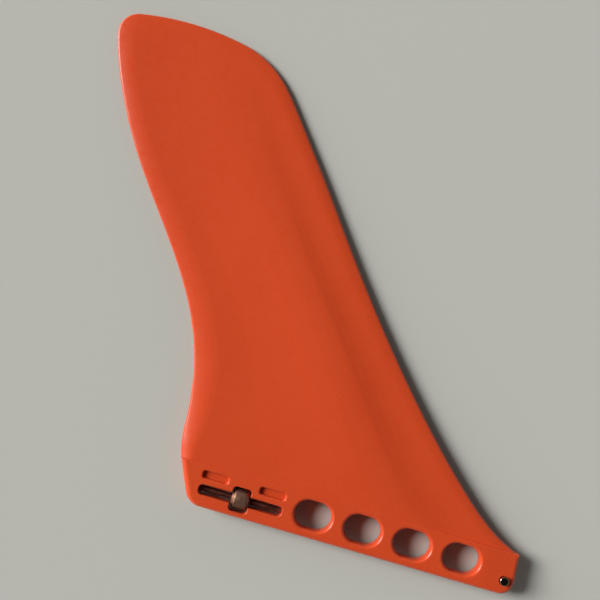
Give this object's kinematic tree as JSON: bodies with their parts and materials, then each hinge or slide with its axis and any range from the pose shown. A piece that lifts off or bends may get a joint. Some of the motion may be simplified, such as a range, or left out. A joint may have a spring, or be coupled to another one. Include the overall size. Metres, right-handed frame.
{
  "type": "paddleboard fin",
  "caption": "Swept centre fin for a paddleboard, with a click-in tab that locks in the fin box by a cross pin and a sprung roller.",
  "frame": {"origin": "middle of the tab's flat foot, on the fin's mid-plane", "axes": "+X along the tab to the front, +Y up the span to the tip, +Z out of the fin's side, with the fin lying on its side"},
  "size_m": [0.2911, 0.2518, 0.014],
  "materials": {
    "moulding": "satin orange moulding",
    "rod_steel": "dull drawn steel",
    "roller": "turned, satin, slightly stained",
    "pin_steel": "polished"
  },
  "bodies": {
    "fin": {"fin_body": "moulding", "front_pin": "pin_steel"},
    "rod": {"spring_rod": "rod_steel"},
    "roller": {"roller": "roller"}
  },
  "joints": [
    {"name": "rod_flex", "type": "slide", "parent": "fin", "child": "rod", "axis": [0, 1, 0], "range_m": [-0.0008, 0.0008], "stiffness_N_per_m": 8000, "deforming": ["spring_rod"]},
    {"name": "roller_spin", "type": "hinge", "parent": "rod", "child": "roller", "pos_m": [-0.0634, 0.0096, 0], "axis": [1, 0, 0], "continuous": true}
  ]
}
